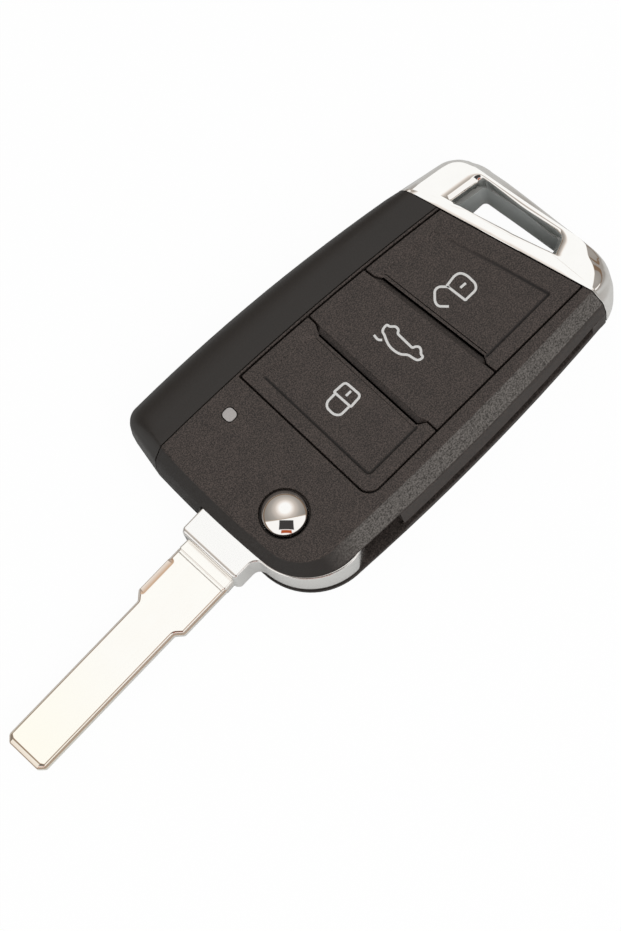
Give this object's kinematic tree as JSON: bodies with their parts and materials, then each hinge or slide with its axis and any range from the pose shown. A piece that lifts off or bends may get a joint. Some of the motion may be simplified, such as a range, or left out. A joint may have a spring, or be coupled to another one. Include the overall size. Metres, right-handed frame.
{
  "type": "flip key remote shell",
  "caption": "Folding car key with a black textured remote body, push buttons with lock and trunk pictograms, a chrome key-ring end, a chrome release button and an uncut swing-out blade.",
  "frame": {"origin": "where the blade's pivot axis meets the flat back face that the key lies on", "axes": "+X from the blade end to the key-ring end, +Y towards the smooth side strip, +Z out of the button face"},
  "size_m": [0.13, 0.0476, 0.0155],
  "materials": {
    "front_shell": "fine grained black-brown plastic",
    "back_shell": "fine grained black-brown plastic",
    "back_cover": "smooth satin black plastic",
    "chrome_cap": "bright mirror chrome",
    "release_button": "bright mirror chrome",
    "blade_head": "satin die-cast metal",
    "blade": "bright nickel plate, faintly warm",
    "roll_pin": "plain steel",
    "lock_button": "fine grained black-brown plastic",
    "trunk_button": "fine grained black-brown plastic",
    "unlock_button": "fine grained black-brown plastic",
    "button_mat": "matt black rubber",
    "led_window": "frosted light grey window",
    "flip_spring": "plain steel",
    "circuit_board": "green solder mask",
    "lock_switch": "bright can",
    "trunk_switch": "bright can",
    "unlock_switch": "bright can",
    "status_led": "pale moulded package",
    "controller_chip": "black moulded package",
    "crystal": "bright can",
    "antenna_coil": "black moulded package",
    "transponder_chip": "black moulded package",
    "coin_cell": "bright can",
    "negative_contact": "plated spring brass",
    "positive_contact": "plated spring brass",
    "case_screw": "plain steel"
  },
  "bodies": {
    "case": {"front_shell": "front_shell", "back_shell": "back_shell", "back_cover": "back_cover", "chrome_cap": "chrome_cap", "button_mat": "button_mat", "led_window": "led_window", "flip_spring": "flip_spring", "circuit_board": "circuit_board", "lock_switch": "lock_switch", "trunk_switch": "trunk_switch", "unlock_switch": "unlock_switch", "status_led": "status_led", "controller_chip": "controller_chip", "crystal": "crystal", "antenna_coil": "antenna_coil", "transponder_chip": "transponder_chip", "coin_cell": "coin_cell", "negative_contact": "negative_contact", "positive_contact": "positive_contact", "case_screw": "case_screw"},
    "blade": {"blade_head": "blade_head", "blade": "blade", "roll_pin": "roll_pin"},
    "release_button": {"release_button": "release_button"},
    "lock_button": {"lock_button": "lock_button"},
    "trunk_button": {"trunk_button": "trunk_button"},
    "unlock_button": {"unlock_button": "unlock_button"}
  },
  "joints": [
    {"name": "blade_fold", "type": "hinge", "parent": "case", "child": "blade", "pos_m": [0, 0, 0], "axis": [0, 0, 1], "range_deg": [0, 178.6], "stiffness_Nm_per_rad": 0.01, "springref_deg": -57.3},
    {"name": "release_press", "type": "slide", "parent": "case", "child": "release_button", "axis": [0, 0, -1], "range_m": [0, 0.0018], "stiffness_N_per_m": 400, "springref_m": -0.002, "deforming": ["flip_spring"]},
    {"name": "lock_press", "type": "slide", "parent": "case", "child": "lock_button", "axis": [0, 0, -1], "range_m": [0, 0.0004], "stiffness_N_per_m": 1500, "springref_m": -0.0004, "deforming": ["button_mat"]},
    {"name": "trunk_press", "type": "slide", "parent": "case", "child": "trunk_button", "axis": [0, 0, -1], "range_m": [0, 0.0004], "stiffness_N_per_m": 1500, "springref_m": -0.0004, "deforming": ["button_mat"]},
    {"name": "unlock_press", "type": "slide", "parent": "case", "child": "unlock_button", "axis": [0, 0, -1], "range_m": [0, 0.0004], "stiffness_N_per_m": 1500, "springref_m": -0.0004, "deforming": ["button_mat"]}
  ]
}
